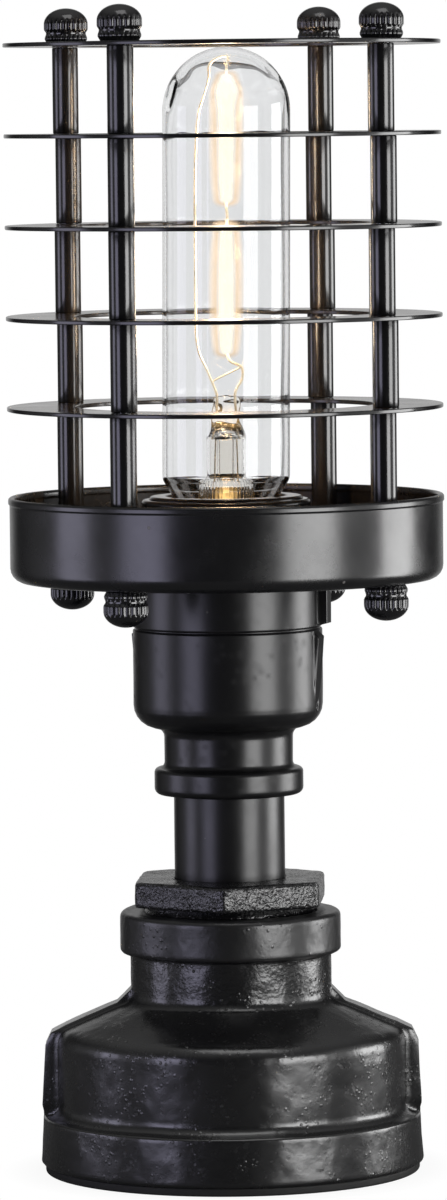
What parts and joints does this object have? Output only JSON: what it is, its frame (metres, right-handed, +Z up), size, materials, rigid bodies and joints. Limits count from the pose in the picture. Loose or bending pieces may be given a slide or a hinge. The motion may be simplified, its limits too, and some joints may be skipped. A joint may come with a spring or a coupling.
{
  "type": "table lamp",
  "caption": "Table lamp built like pipe fittings: hollow cast foot, hexagon bushing, short pipe and cast cup carry a pan and a cage of flat rings on rods around a tubular bulb.",
  "frame": {"origin": "on the ground under the middle of the foot pad", "axes": "+Z up along the lamp's axis; the front faces -Y, the cord inlet faces +Y, +X is to the right seen from the front"},
  "size_m": [0.105, 0.105, 0.2809],
  "materials": {
    "black_casting": "semi-gloss black lacquer over a lumpy, pitted casting",
    "black_paint": "satin black paint over smooth steel",
    "black_rubber": "matt",
    "zinc_steel": "zinc-plated, dull",
    "phenolic": "moulded black phenolic, semi-gloss",
    "brass": "plain pressed brass",
    "wire_insulation": "smooth black insulation",
    "nylon": "natural nylon",
    "clear_glass": "clear, smooth",
    "stem_glass": "clear pressed glass",
    "filament": "glowing amber",
    "support_wire": "dull nickel wire",
    "cap_metal": "thin pressed metal",
    "black_glass": "black glass insulator"
  },
  "bodies": {
    "lamp": {"acorn_nuts_bottom": "black_paint", "acorn_nuts_top": "black_paint", "base_band": "black_casting", "base_reducer": "black_casting", "bottom_cover": "zinc_steel", "centre_contact": "brass", "clamp_ring": "phenolic", "cord_grommet": "black_rubber", "foot_pad": "black_rubber", "guard_ring_1": "black_paint", "guard_ring_2": "black_paint", "guard_ring_3": "black_paint", "guard_ring_4": "black_paint", "guard_ring_5": "black_paint", "hex_bushing": "black_casting", "lamp_nipple": "zinc_steel", "lock_nuts": "zinc_steel", "pan": "black_paint", "pipe_nipple": "black_paint", "screw_shell": "brass", "seating_washer": "zinc_steel", "shade_ring": "phenolic", "socket_barrel": "phenolic", "socket_base_cap": "phenolic", "socket_cup": "black_casting", "socket_leads": "wire_insulation", "socket_screws": "zinc_steel", "spacer_tier_1": "black_paint", "spacer_tier_2": "black_paint", "spacer_tier_3": "black_paint", "spacer_tier_4": "black_paint", "spacer_tier_5": "black_paint", "terminal_plates": "brass", "terminal_screws": "brass", "tie_rod_1": "zinc_steel", "tie_rod_2": "zinc_steel", "tie_rod_3": "zinc_steel", "tie_rod_4": "zinc_steel", "wire_connectors": "nylon"},
    "bulb": {"bulb_glass": "clear_glass", "bulb_stem": "stem_glass", "filament_upper": "filament", "filament_lower": "filament", "filament_wires": "support_wire", "bulb_cap": "cap_metal", "cap_insulator": "black_glass", "cap_contact": "cap_metal"}
  },
  "joints": [
    {"name": "bulb_lift", "type": "slide", "parent": "lamp", "child": "bulb", "axis": [0, 0, 1], "range_m": [0, 0.15]}
  ]
}
